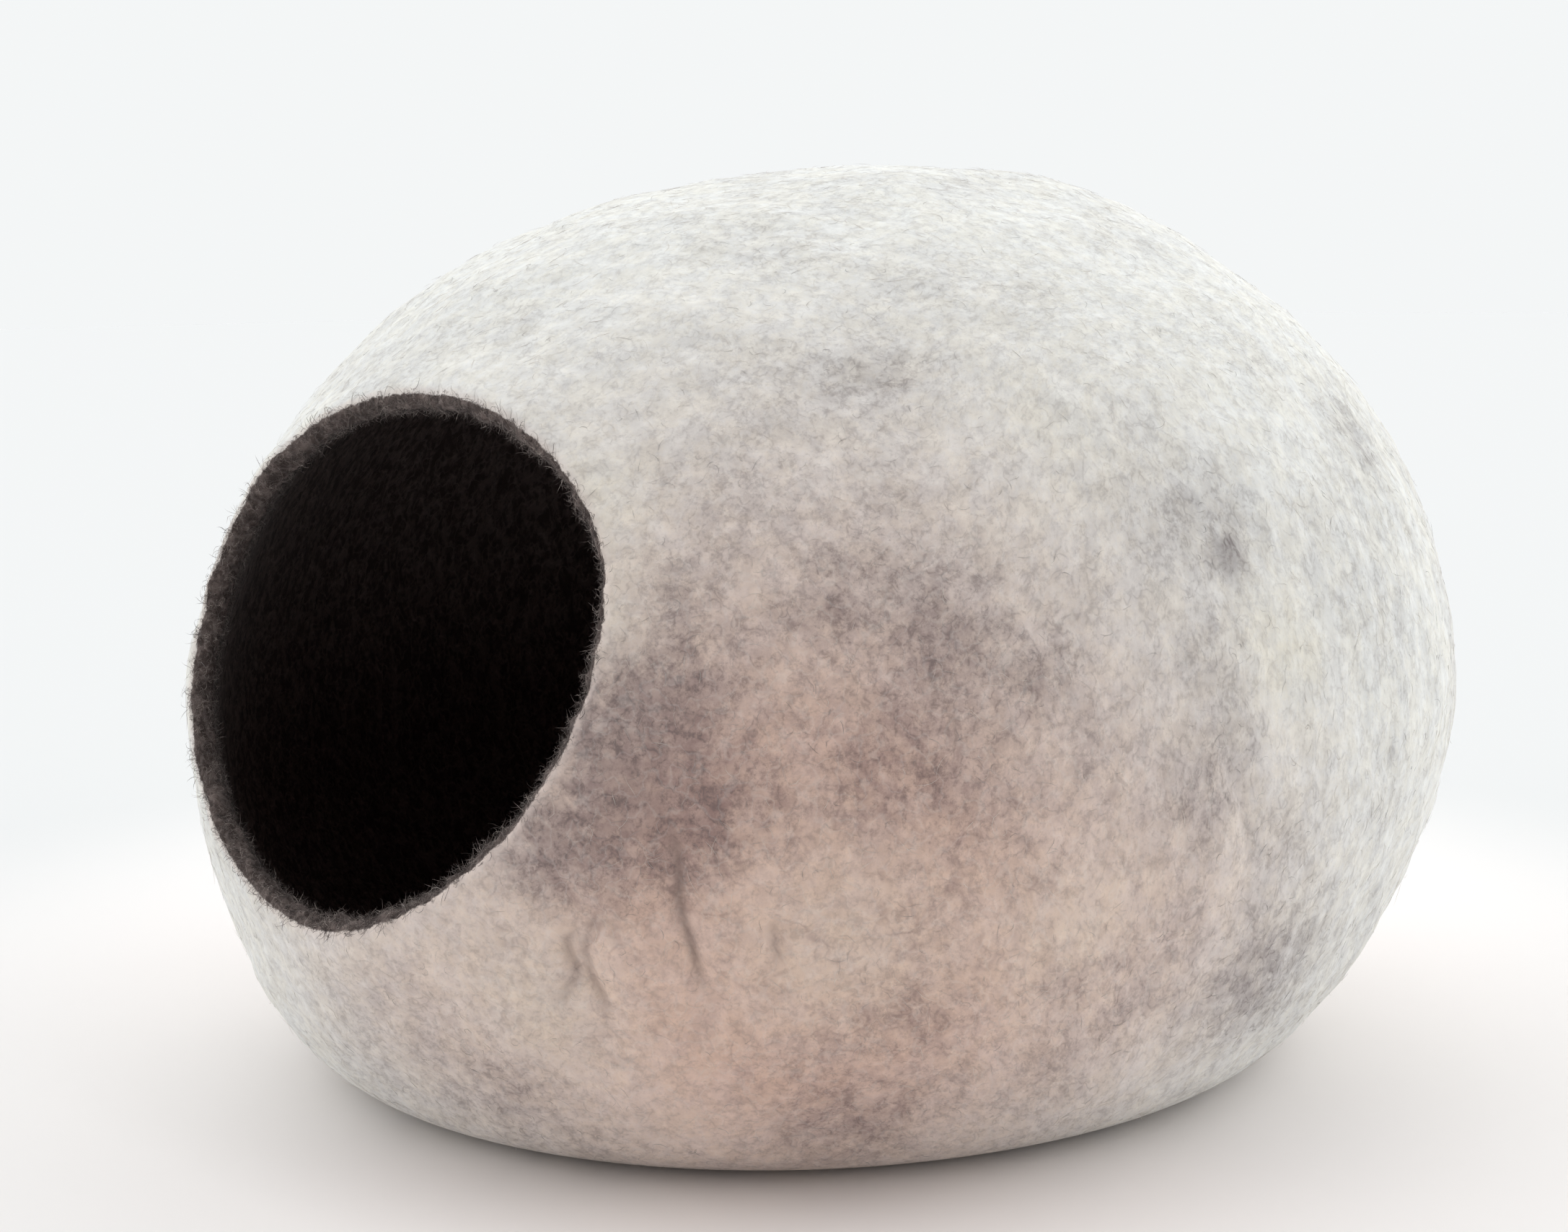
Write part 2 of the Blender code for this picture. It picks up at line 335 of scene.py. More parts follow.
# Where a noise starts to show and is full, and for two of them its shares there.
LOCK_RANGE = (0.38, 0.62)
CLOUD_RANGE = (0.36, 0.64, 0.50, 1.30)
DRIFT_RANGE = (0.47, 0.66, 0.00, 0.16)
MARL_RANGE = (0.36, 0.66)
VEIN_RANGE = (0.44, 0.60)
CURL_RANGE = (0.42, 0.62)
CHARCOAL_RANGE = (0.32, 0.70)

# Lines of single fibre: spacing, and how far they reach from the middle value of their noise.
STROKES = ((0.0042, 0.090), (0.0068, 0.060))
VEINS = (0.0130, 0.045)
PALE_STROKES = (0.0071, 0.040)
ASH_STROKES = (0.0060, 0.050)

# Tufts: spacing, and where the gaps between them start and are full.
TUFT_SPACING = 0.0050
TUFT_RANGE = (0.15, 0.80)

# The lines and tufts are bent to and fro at this spacing, by this much.
BEND = (0.0040, 0.0036)

# Finish of the felt, the loose fibres and the floor, and the fine bumps of the felt.
FELT_FINISH = {
    "Roughness": 0.93,
    "Specular IOR Level": 0.20,
    "Sheen Weight": 0.08,
    "Sheen Roughness": 0.45,
}
FIBRE_FINISH = {"Roughness": 0.85, "Specular IOR Level": 0.25, "Sheen Weight": 0.15}
FLOOR_FINISH = {"Roughness": 1.0, "Specular IOR Level": 0.0}
BUMP_STRENGTH = 0.38
BUMP_DEPTH = 0.0012


# ---------------------------------------------------------------- form

def unit(vectors):
    """Vectors at length one."""
    return vectors / np.linalg.norm(vectors, axis=-1, keepdims=True)


def smooth(share):
    """Smooth step of a share from 0 to 1."""
    share = np.clip(share, 0.0, 1.0)
    return share * share * (3.0 - 2.0 * share)


def toward(bearing, elevation):
    """Direction from the body's centre, from a bearing and an elevation in degrees."""
    bearing = np.radians(bearing)
    elevation = np.radians(elevation)
    level = np.cos(elevation)
    return np.stack([level * np.sin(bearing), -level * np.cos(bearing), np.sin(elevation)], -1)


def settle(height):
    """Height of the skin once its underside has settled flat on the floor."""
    blended = (height + BASE_BLEND) ** 2 / (4.0 * BASE_BLEND)
    return np.where(height < -BASE_BLEND, 0.0, np.where(height > BASE_BLEND, height, blended))


def pebble(direction):
    """Point of the smooth form, without swells or creases, along each direction."""
    reach = np.where(direction[..., 1] < 0.0, FRONT_REACH, BACK_REACH)
    plan = np.hypot(direction[..., 0] / HALF_WIDTH, direction[..., 1] / reach)
    rise = np.abs(direction[..., 2] / HALF_HEIGHT)
    radius = (plan ** PROFILE_POWER + rise ** PROFILE_POWER) ** (-1.0 / PROFILE_POWER)
    across, along, height = np.moveaxis(direction * radius[..., None], -1, 0)
    across = across * (1.0 + REAR_WIDENING * along)
    height = settle(height + REAR_RISE * along + CENTRE_HEIGHT)
    return np.stack([across, along, height], -1)


def outward(direction):
    """Outward normal of the smooth form along each direction."""
    step = 1e-3
    side = unit(np.cross(direction, direction[..., [1, 2, 0]]))
    other = np.cross(direction, side)
    along_side = pebble(unit(direction + step * side)) - pebble(unit(direction - step * side))
    along_other = pebble(unit(direction + step * other)) - pebble(unit(direction - step * other))
    return unit(np.cross(along_side, along_other))


def above_base(point):
    """0 on the flat base and 1 on the walls."""
    low, high = BASE_EDGE
    return smooth((point[..., 2] - low) / (high - low))


def spots(point, table):
    """Sum of soft round spots at the bearings and elevations of a table."""
    total = np.zeros(point.shape[:-1])
    for _name, bearing, elevation, radius, amount in table:
        gap = np.linalg.norm(point - pebble(toward(bearing, elevation)), axis=-1)
        total += amount * np.exp(-(gap / radius) ** 2)
    return total


def near_route(point, corners):
    """Distance of each point to a route of straight runs, and how far along it lies, 0 to 1."""
    nearest = np.full(point.shape[:-1], np.inf)
    along = np.zeros(point.shape[:-1])
    for step, (start, end) in enumerate(zip(corners[:-1], corners[1:])):
        run = end - start
        share = np.clip(((point - start) @ run) / (run @ run), 0.0, 1.0)
        gap = np.linalg.norm(point - start - share[..., None] * run, axis=-1)
        along = np.where(gap < nearest, (step + share) / (len(corners) - 1), along)
        nearest = np.minimum(nearest, gap)
    return nearest, along


def rounded_route(route, steps=5):
    """A crease's route with its corners rounded into a curve through all of them."""
    corners = np.array(route, float)
    padded = np.vstack([2.0 * corners[0] - corners[1], corners, 2.0 * corners[-1] - corners[-2]])
    share = np.linspace(0.0, 1.0, steps, endpoint=False)[:, None]
    runs = []
    for before, start, end, after in zip(padded[:-3], padded[1:-2], padded[2:-1], padded[3:]):
        runs.append(
            start
            + 0.5 * share * (end - before)
            + share ** 2 * (before - 2.5 * start + 2.0 * end - 0.5 * after)
            + 0.5 * share ** 3 * (after - 3.0 * end + 3.0 * start - before)
        )
    return np.vstack(runs + [corners[-1:]])


def creases(point):
    """Depth of the creases, and how much painted shade each point gets in a crease's core."""
    depth = np.zeros(point.shape[:-1])
    core_shade = np.zeros(point.shape[:-1])
    for _name, half_width, deep, mark, route in CREASES:
        corners = pebble(toward(*rounded_route(route).T))
        gap, along = near_route(point, corners)
        core = np.exp(-(gap / CREASE_CORE) ** 2) * smooth(np.minimum(along, 1.0 - along) / CREASE_ENDS)
        depth += deep * np.exp(-(gap / half_width) ** 2) + CREASE_CORE_DEPTH * core
        core_shade = np.maximum(core_shade, mark * core)
    fade = above_base(point)
    return depth * fade, core_shade * fade


def soft_waves(point, spacing, seed):
    """Smooth random field of about unit size, a sum of waves in random directions."""
    draw = np.random.default_rng(seed)
    directions = unit(draw.normal(size=(WAVES, 3)))
    lengths = spacing * draw.uniform(*WAVE_LENGTHS, WAVES)
    phases = draw.uniform(0.0, 2.0 * np.pi, WAVES)
    total = np.zeros(point.shape[:-1])
    for direction, length, phase in zip(directions, lengths, phases):
        total += np.sin(2.0 * np.pi * (point @ direction) / length + phase)
    return total * np.sqrt(2.0 / WAVES)


def streak_share(point):
    """How much the fibres of each point run upright, on the two flanks."""
    bearing = np.degrees(np.arctan2(point[..., 0], -point[..., 1]))
    share = np.zeros(point.shape[:-1])
    for middle in STREAK_MIDDLES:
        off = np.abs((bearing - middle + 180.0) % 360.0 - 180.0)
        share = np.maximum(share, smooth((STREAK_HALF + STREAK_FADE - off) / STREAK_FADE))
    upper = smooth((point[..., 2] - STREAK_TOP) / STREAK_TOP_FADE)
    return share * (1.0 - upper)


def relief(point):
    """Small unevenness of the outer skin."""
    total = np.zeros(point.shape[:-1])
    for spacing, amount, seed in RELIEF:
        total += amount * soft_waves(point, spacing, seed)
    spacing, amount, seed = STREAK_RELIEF
    upright = point / np.array([1.0, 1.0, STREAK_STRETCH])
    total += amount * streak_share(point) * soft_waves(upright, spacing, seed)
    return total * above_base(point)


def entrance_axes():
    """The entrance's own axes: out of it, to its right-hand side, and up its plane."""
    out = np.array([0.0, -np.cos(ENTRANCE_TILT), np.sin(ENTRANCE_TILT)])
    right = np.array([1.0, 0.0, 0.0])
    return out, right, np.cross(out, right)


def edge_directions(angles):
    """Directions from the body's centre to the cut edge of the outer skin."""
    out, right, up = entrance_axes()
    moved = np.zeros_like(angles)
    for _name, middle, stretch, amount in EDGE_WOBBLES:
        away = (np.degrees(angles) - middle + 180.0) % 360.0 - 180.0
        moved += amount * np.exp(-(away / stretch) ** 2)
    half_height = np.where(np.sin(angles) > 0.0, ENTRANCE_RISE, ENTRANCE_DROP)
    across = (ENTRANCE_HALF_WIDTH + moved) * np.cos(angles)
    upward = (half_height + moved) * np.sin(angles)
    return unit(ENTRANCE_PLANE * out + across[:, None] * right + upward[:, None] * up)


def spoke_directions(angles, rings):
    """Directions along every spoke, from the cut edge to just short of the back pole."""
    out, right, up = entrance_axes()
    edge = edge_directions(angles)
    opening = np.arccos(edge @ out)
    turn = np.arctan2(edge @ up, edge @ right)
    share = (np.arange(rings) / rings) ** RING_CROWDING
    bend = opening[None, :] + (np.pi - opening[None, :]) * share[:, None]
    sideways = np.cos(turn)[:, None] * right + np.sin(turn)[:, None] * up
    return np.cos(bend)[..., None] * out + np.sin(bend)[..., None] * sideways


def skin(direction, edge_point, inside):
    """Points of the outer or the inner side of the wall."""
    point = pebble(direction)
    lift = spots(point, SWELLS) * above_base(point)
    gap = np.linalg.norm(point - edge_point, axis=-1)
    near_edge = np.exp(-(gap / LIP_FLARE_REACH) ** 2)
    lift = lift + LIP_FLARE * near_edge
    if inside:
        lift = lift - WALL + INNER_RELIEF_SHARE * relief(point)
    else:
        lift = lift - creases(point)[0] + relief(point)
    return point + outward(direction) * lift[..., None]


def rolled_lip(outer_edge, inner_edge, outer_next):
    """Rings of the rounded lip between the outer and the inner cut edge."""
    middle = (outer_edge + inner_edge) / 2.0
    thick = (outer_edge - inner_edge) / 2.0
    ahead = unit(outer_edge - outer_next) * np.linalg.norm(thick, axis=-1, keepdims=True)
    rings = []
    for turn in LIP_TURNS:
        ring = middle + np.cos(turn) * thick + np.sin(turn) * ahead
        swell = 1.0 + np.sin(turn) * sum(
            amount * soft_waves(ring, spacing, seed) for spacing, amount, seed in LIP_LUMPS
        )
        rings.append(middle + (ring - middle) * swell[:, None])
    return np.stack(rings)


def spoke_angles():
    """Angles of the spokes round the entrance."""
    even = np.linspace(0.0, 2.0 * np.pi, SPOKES, endpoint=False)
    return even - SPOKE_CROWDING * np.sin(even - CROWDED_ANGLE)


def shell_grid():
    """Rings of points from the outer back pole round the lip to the inner back pole."""
    angles = spoke_angles()
    edge_point = pebble(edge_directions(angles))
    outer = skin(spoke_directions(angles, OUTER_RINGS), edge_point, inside=False)
    inner = skin(spoke_directions(angles, INNER_RINGS), edge_point, inside=True)
    lip = rolled_lip(outer[0], inner[0], outer[1])
    back = -entrance_axes()[0][None, :]
    far_edge = np.array([[0.0, -FRONT_REACH, CENTRE_HEIGHT]])
    poles = np.stack([skin(back, far_edge, inside=False)[0], skin(back, far_edge, inside=True)[0]])
    return np.concatenate([outer[::-1], lip, inner]), poles


def to_cad_box(points):
    """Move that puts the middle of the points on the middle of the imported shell's box."""
    cad_low, cad_high = (np.array(corner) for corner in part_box("felt_shell"))
    low = points.min(axis=(0, 1))
    high = points.max(axis=(0, 1))
    moved = (cad_low + cad_high - low - high) / 2.0
    moved[2] = cad_low[2] - low[2]
    return moved


# ---------------------------------------------------------------- wool materials

def new_material(name):
    """An empty node material with its Principled shader."""
    material = bpy.data.materials.new(name)
    material.use_nodes = True
    return material, material.node_tree, material.node_tree.nodes["Principled BSDF"]


def plug(tree, socket, value):
    """Links a socket to another, or sets it to a value."""
    if isinstance(value, bpy.types.NodeSocket):
        tree.links.new(value, socket)
    elif isinstance(value, tuple) and len(value) == 3 and socket.type == "RGBA":
        socket.default_value = (*value, 1.0)
    else:
        socket.default_value = value


def set_finish(shader, values):
    """Sets the shader's own sockets."""
    for name, value in values.items():
        shader.inputs[name].default_value = value


def noise(tree, place, spacing, detail=2.0, roughness=0.5, distortion=0.0):
    """Noise whose features are about spacing metres apart."""
    made = tree.nodes.new("ShaderNodeTexNoise")
    plug(tree, made.inputs["Vector"], place)
    plug(tree, made.inputs["Scale"], 1.0 / spacing)
    plug(tree, made.inputs["Detail"], detail)
    plug(tree, made.inputs["Roughness"], roughness)
    plug(tree, made.inputs["Distortion"], distortion)
    return made.outputs["Fac"]


def arith(tree, operation, first, second=0.5, clamp=False):
    """One step of arithmetic on numbers."""
    made = tree.nodes.new("ShaderNodeMath")
    made.operation = operation
    made.use_clamp = clamp
    plug(tree, made.inputs[0], first)
    plug(tree, made.inputs[1], second)
    return made.outputs[0]


def vector_arith(tree, operation, *values):
    """One step of arithmetic on vectors."""
    made = tree.nodes.new("ShaderNodeVectorMath")
    made.operation = operation
    for socket, value in zip(made.inputs, values):
        plug(tree, socket, value)
    return made


def ramp(tree, value, low, high, to_low=0.0, to_high=1.0):
    """Smooth step of a value between low and high."""
    made = tree.nodes.new("ShaderNodeMapRange")
    made.interpolation_type = "SMOOTHSTEP"
    plug(tree, made.inputs["Value"], value)
    plug(tree, made.inputs["From Min"], low)
    plug(tree, made.inputs["From Max"], high)
    plug(tree, made.inputs["To Min"], to_low)
    plug(tree, made.inputs["To Max"], to_high)
    return made.outputs["Result"]


def blend(tree, share, first, second):
    """Mix of two numbers or two colours."""
    is_colour = any(isinstance(x, tuple) or getattr(x, "type", "") == "RGBA" for x in (first, second))
    made = tree.nodes.new("ShaderNodeMix")
    made.data_type = "RGBA" if is_colour else "FLOAT"
    in_use = {socket.name: socket for socket in made.inputs if socket.enabled}
    plug(tree, in_use["Factor"], share)
    plug(tree, in_use["A"], first)
    plug(tree, in_use["B"], second)
    return next(socket for socket in made.outputs if socket.enabled)


def attribute(tree, name):
    """A number painted on the mesh."""
    made = tree.nodes.new("ShaderNodeAttribute")
    made.attribute_name = name
    return made.outputs["Fac"]


def own_place(tree):
    """The object's own coordinates, in metres."""
    return tree.nodes.new("ShaderNodeTexCoord").outputs["Object"]


def wool_place(tree):
    """The object's coordinates, drawn out upright where the fibres run upright."""
    split = tree.nodes.new("ShaderNodeSeparateXYZ")
    plug(tree, split.inputs[0], own_place(tree))
    above = arith(tree, "SUBTRACT", split.outputs["Z"], STREAK_LEVEL)
    drawn = arith(tree, "MULTIPLY", attribute(tree, "streak"), STREAK_DRAW)
    drawn = arith(tree, "MULTIPLY", drawn, above)
    joined = tree.nodes.new("ShaderNodeCombineXYZ")
    plug(tree, joined.inputs["X"], split.outputs["X"])
    plug(tree, joined.inputs["Y"], split.outputs["Y"])
    plug(tree, joined.inputs["Z"], arith(tree, "SUBTRACT", split.outputs["Z"], drawn))
    return joined.outputs[0]


def bent_place(tree, place, spacing, amount):
    """A place bent to and fro by a noise, so that lines laid on it curl."""
    wobble = tree.nodes.new("ShaderNodeTexNoise")
    plug(tree, wobble.inputs["Vector"], place)
    plug(tree, wobble.inputs["Scale"], 1.0 / spacing)
    plug(tree, wobble.inputs["Detail"], 1.0)
    bent = vector_arith(tree, "MULTIPLY_ADD", wobble.outputs["Color"], (amount,) * 3, place)
    return bent.outputs["Vector"]


def hairlines(tree, place, spacing, width):
    """Thin lines, where a noise passes its middle value."""
    field = noise(tree, place, spacing, 1.0)
    away = arith(tree, "ABSOLUTE", arith(tree, "SUBTRACT", field, 0.5))
    return ramp(tree, away, width, 0.0)


def tufts(tree, place, spacing):
    """Round tufts of fibre: 0 in the middle of each and 1 in the gaps between them."""
    made = tree.nodes.new("ShaderNodeTexVoronoi")
    plug(tree, made.inputs["Vector"], place)
    plug(tree, made.inputs["Scale"], 1.0 / spacing)
    return ramp(tree, made.outputs["Distance"], *TUFT_RANGE)


def between(tree, share, ends):
    """A number between two ends."""
    return blend(tree, share, ends[0], ends[1])


def toned(tree, colour, amount, share, tone):
    """A colour turned towards a tone by an amount times a share."""
    return blend(tree, arith(tree, "MULTIPLY", amount, share), colour, tone)


def dyed(tree, colour, tint):
    """A colour multiplied by a tint."""
    return vector_arith(tree, "MULTIPLY", colour, tint).outputs["Vector"]


def clean_wool(tree, place):
    """Colour of the wool without grey: nearly white, warmer or cream in places, in locks."""
    # Warm beige in places, partly painted warm shade on the shaded front.
    colour = blend(tree, attribute(tree, "warm"), WHITE_WOOL, WARM_WOOL_AND_SHADE_TINT)
    colour = toned(tree, colour, attribute(tree, "cream"), CREAM_AMOUNT, CREAM_WOOL)
    locks = ramp(tree, noise(tree, place, *LOCK_NOISE), *LOCK_RANGE)
    return dyed(tree, colour, blend(tree, locks, BLUE_LOCK, CREAM_LOCK))


def grey_share(tree, place, cloud):
    """Share of grey fibre: listed patches broken up by clouds, and a faint drift."""
    share = arith(tree, "MULTIPLY", attribute(tree, "grey"), ramp(tree, cloud, *CLOUD_RANGE))
    drift = ramp(tree, noise(tree, place, *DRIFT_NOISE), *DRIFT_RANGE)
    share = arith(tree, "ADD", share, drift)
    cleared = arith(tree, "MULTIPLY", attribute(tree, "cream"), CREAM_CLEARS)
    return arith(tree, "SUBTRACT", share, cleared, clamp=True)


def marled(tree, colour, place, bent, share, shade):
    """A colour with matted fibre at every scale, with tufts and with single grey fibres."""
    marl = ramp(tree, noise(tree, place, *MARL_NOISE), *MARL_RANGE)
    by_warmth = between(tree, attribute(tree, "warm"), MARL_BY_WARMTH)
    strength = arith(tree, "MULTIPLY", between(tree, share, MARL_AMOUNT), by_warmth)
    colour = toned(tree, colour, marl, strength, shade)
    gaps = tufts(tree, bent, TUFT_SPACING)
    colour = toned(tree, colour, gaps, between(tree, share, TUFT_AMOUNT), shade)
    fine, broad = (hairlines(tree, bent, *stroke) for stroke in STROKES)
    lines = arith(tree, "MULTIPLY", arith(tree, "MAXIMUM", fine, broad), marl)
    return toned(tree, colour, lines, between(tree, share, STROKE_AMOUNT), GREY_WOOL)


def veined(tree, colour, bent, cloud, shade):
    """A colour with thin dark veins in the warm wool, and with pale fibres over it."""
    veins = arith(tree, "MULTIPLY", hairlines(tree, bent, *VEINS), attribute(tree, "warm"))
    veins = arith(tree, "MULTIPLY", veins, ramp(tree, cloud, *VEIN_RANGE))
    colour = toned(tree, colour, veins, VEIN_AMOUNT, shade)
    return toned(tree, colour, hairlines(tree, bent, *PALE_STROKES), PALE_STROKE_AMOUNT, WHITE_WOOL)


def pale_wool(tree, place, bent):
    """Colour of the marled outer wool."""
    cloud = noise(tree, place, *CLOUD_NOISE)
    share = grey_share(tree, place, cloud)
    shade = blend(tree, attribute(tree, "warm"), COOL_SHADE_WOOL, SHADE_WOOL)
    colour = toned(tree, clean_wool(tree, place), share, VEIL_AMOUNT, shade)
    colour = marled(tree, colour, place, bent, share, shade)
    colour = veined(tree, colour, bent, cloud, shade)
    # Painted shade along the cores of the creases.
    colour = toned(tree, colour, attribute(tree, "crease_painted_shade"), CREASE_SHADE_AMOUNT, CREASE_SHADE_COLOUR)
    # Painted highlight along the lip's crest.
    return toned(tree, colour, attribute(tree, "lip_highlight"), LIP_HIGHLIGHT_AMOUNT, LIP_HIGHLIGHT_COLOUR)


def charcoal_wool(tree, place, bent):
    """Colour of the charcoal inner wool, with lighter fibres felted into it."""
    curls = ramp(tree, noise(tree, place, *CURL_NOISE), *CURL_RANGE)
    colour = blend(tree, curls, CHARCOAL_WOOL, CHARCOAL_LIGHT)
    return toned(tree, colour, hairlines(tree, bent, *ASH_STROKES), ASH_AMOUNT, ASH_WOOL)


def both_wools(tree, place, pale, dark):
    """Pale wool that turns into charcoal wool along a ragged border."""
    ragged = arith(tree, "SUBTRACT", noise(tree, place, *RAGGED_NOISE), 0.5)
    ragged = arith(tree, "MULTIPLY", ragged, RAGGED_AMOUNT)
    share = arith(tree, "ADD", attribute(tree, "charcoal"), ragged)
    return blend(tree, ramp(tree, share, *CHARCOAL_RANGE), pale, dark)


def felt_material(name, outside, inside):
    """Wool felt of the outside, of the inside, or of both felted together at the cut edge."""
    material, tree, shader = new_material(name)
    place = wool_place(tree)
    bent = bent_place(tree, place, *BEND)
    if outside:
        colour = pale_wool(tree, place, bent)
    if inside:
        dark = charcoal_wool(tree, place, bent)
    if outside and inside:
        colour = both_wools(tree, place, colour, dark)
    elif inside:
        # The inside painted lighter, as if lit through the entrance.
        colour = dyed(tree, dark, blend(tree, attribute(tree, "inner"), EDGE_TINT, INNER_PAINTED_LIGHT))
    plug(tree, shader.inputs["Base Color"], colour)
    bump = tree.nodes.new("ShaderNodeBump")
    bump.inputs["Strength"].default_value = BUMP_STRENGTH
    bump.inputs["Distance"].default_value = BUMP_DEPTH
    plug(tree, bump.inputs["Height"], noise(tree, place, *BUMP_NOISE))
    plug(tree, shader.inputs["Normal"], bump.outputs["Normal"])
    set_finish(shader, FELT_FINISH)
    return material


def fibre_material(name, dull, bright, spacing):
    """Wool fibres between two colours, changing softly from place to place."""
    material, tree, shader = new_material(name)
    share = noise(tree, own_place(tree), spacing, *FIBRE_NOISE)
    share = ramp(tree, share, *FIBRE_RANGE)
    plug(tree, shader.inputs["Base Color"], blend(tree, share, dull, bright))
    set_finish(shader, FIBRE_FINISH)
    return material


# ---------------------------------------------------------------- the shell

def grid_faces(rings, spokes):
    """Four-sided faces between neighbouring rings of points."""
    row = np.arange(rings - 1)[:, None] * spokes
    spoke = np.arange(spokes)[None, :]
    after = (spoke + 1) % spokes
    corners = [row + spoke, row + after, row + spokes + after, row + spokes + spoke]
    return np.stack(np.broadcast_arrays(*corners), -1).reshape(-1, 4)


def paint(mesh, name, values):
    """Writes one number for each vertex."""
    layer = mesh.attributes.new(name, "FLOAT", "POINT")
    layer.data.foreach_set("value", np.ascontiguousarray(values, np.float32))


def by_ring(shares):
    """A share for each ring, given to all its points, with 0 and 1 for the two poles."""
    return np.concatenate([np.repeat(shares, SPOKES), [0.0, 1.0]])


def charcoal_share():
    """How far each point is charcoal wool."""
    lip = smooth((LIP_TURNS - CHARCOAL_STARTS) / (CHARCOAL_FULL - CHARCOAL_STARTS))
    return by_ring(np.concatenate([np.zeros(OUTER_RINGS), lip, np.ones(INNER_RINGS)]))


def inner_light_share():
    """How far each point gets the painted light of the inside."""
    start, full = INNER_LIGHT_RINGS
    past_edge = np.arange(ALL_RINGS) - OUTER_RINGS
    return by_ring(smooth((past_edge - start) / (full - start)))


def lip_highlight(grid):
    """How much painted highlight each point gets, by how near it lies to the border of the charcoal
    wool, and the two poles.
    """
    border = OUTER_RINGS + LIP_HIGHLIGHT_RING
    gap = np.linalg.norm(grid - grid[border], axis=-1)
    band = np.exp(-(gap / LIP_HIGHLIGHT_WIDTH) ** 2)
    band[border:] = 1.0
    return np.concatenate([band.ravel(), [0.0, 0.0]])


def crease_shade_by_vertex():
    """How much painted shade each vertex gets in the core of a crease. Only the outer skin has
    creases.
    """
    before_creasing = pebble(spoke_directions(spoke_angles(), OUTER_RINGS))[::-1]
    core_shade = creases(before_creasing)[1].ravel()
    return np.concatenate([core_shade, np.zeros((ALL_RINGS - OUTER_RINGS) * SPOKES + 2)])


def wool_slots():
    """Material slot of each face: 0 outside, 1 at the cut edge and 2 inside."""
    past_edge = np.arange(ALL_RINGS - 1) - OUTER_RINGS
    start, end = BOTH_WOOLS_RINGS
    slot = np.where(past_edge < start, 0, np.where(past_edge < end, 1, 2))
    return np.concatenate([np.repeat(slot, SPOKES), np.tile([0, 2], SPOKES)])


def shell_faces():
    """Faces of the whole grid, with a fan of triangles round each pole."""
    faces = grid_faces(ALL_RINGS, SPOKES).tolist()
    outer_pole = ALL_RINGS * SPOKES
    inner_pole = outer_pole + 1
    last_row = (ALL_RINGS - 1) * SPOKES
    for spoke in range(SPOKES):
        after = (spoke + 1) % SPOKES
        faces.append((outer_pole, after, spoke))
        faces.append((inner_pole, last_row + spoke, last_row + after))
    return faces


def shell_volume(mesh):
    """Signed volume inside a closed mesh, above zero where its faces point outwards."""
    mesh.calc_loop_triangles()
    places = np.empty(len(mesh.vertices) * 3)
    mesh.vertices.foreach_get("co", places)
    corners = np.empty(len(mesh.loop_triangles) * 3, np.int64)
    mesh.loop_triangles.foreach_get("vertices", corners)
    triangle = places.reshape(-1, 3)[corners.reshape(-1, 3)]
    return np.einsum("ij,ij->", triangle[:, 0], np.cross(triangle[:, 1], triangle[:, 2])) / 6.0


def paint_shell(mesh, grid, points):
    """Writes the shares that the colours of the wool follow."""
    paint(mesh, "grey", spots(points, GREY_PATCHES))
    paint(mesh, "cream", spots(points, CREAM_PATCHES))
    paint(mesh, "warm", spots(points, WARM_AND_SHADE_TINT_PATCHES))
    paint(mesh, "streak", streak_share(points))
    paint(mesh, "crease_painted_shade", crease_shade_by_vertex())
    paint(mesh, "charcoal", charcoal_share())
    paint(mesh, "inner", inner_light_share())
    paint(mesh, "lip_highlight", lip_highlight(grid))


def build_shell(grid, poles, moved):
    """The felt shell as one closed mesh, with its painted numbers."""
    points = np.vstack([grid.reshape(-1, 3), poles])
    mesh = bpy.data.meshes.new("felt_skin")
    mesh.from_pydata((points + moved).tolist(), [], shell_faces())
    mesh.polygons.foreach_set("material_index", wool_slots().astype(np.int32))
    if shell_volume(mesh) < 0.0:
        mesh.flip_normals()
    mesh.shade_smooth()
    paint_shell(mesh, grid, points)
    mesh.materials.append(felt_material("marled_felt", outside=True, inside=False))
    mesh.materials.append(felt_material("edge_felt", outside=True, inside=True))
    mesh.materials.append(felt_material("charcoal_felt", outside=False, inside=True))
    shell = bpy.data.objects.new("felt_skin", mesh)
    bpy.context.scene.collection.objects.link(shell)
    return shell


# ---------------------------------------------------------------- loose fibres

FIBRES = [
    # name, zone, count, length, radius, lift at the tip, curl in turns, seed, wool
    ("pale_fibres", "outer", 5000, 0.0090, 0.000048, 0.0006, 0.60, 21, "pale"),
    ("grey_fibres", "grey", 5200, 0.0065, 0.000045, 0.0003, 0.90, 23, "grey"),
    ("rim_fibres_dark", "rim", 8200, 0.0054, 0.000070, 0.0019, 2.40, 24, "charcoal"),
    ("rim_fibres_ash", "rim", 8200, 0.0050, 0.000060, 0.0023, 2.60, 25, "ash"),
    ("inner_fibres", "inner", 3000, 0.0100, 0.000090, 0.0009, 0.80, 26, "charcoal"),
]

# Points along a fibre, sides of its tube, and how deep its root lies in the wool.
FIBRE_NODES = 6
FIBRE_SIDES = 3
FIBRE_ROOT_DEPTH = 0.00010

# How densely grey fibres lie away from the grey patches, to 1 inside them.
GREY_ELSEWHERE = 0.14

# Heights above the floor: no root lies lower, and no fibre hangs lower.
LOWEST_ROOT = 0.0025
LOWEST_FIBRE = 0.0002

# Share of upright fibres on the rubbed flanks, and how far the headings of the upright ones
# and of the others spread, in radians.
UPRIGHT_SHARE = 0.75
UPRIGHT_SPREAD = 0.35
FREE_SPREAD = 3.2

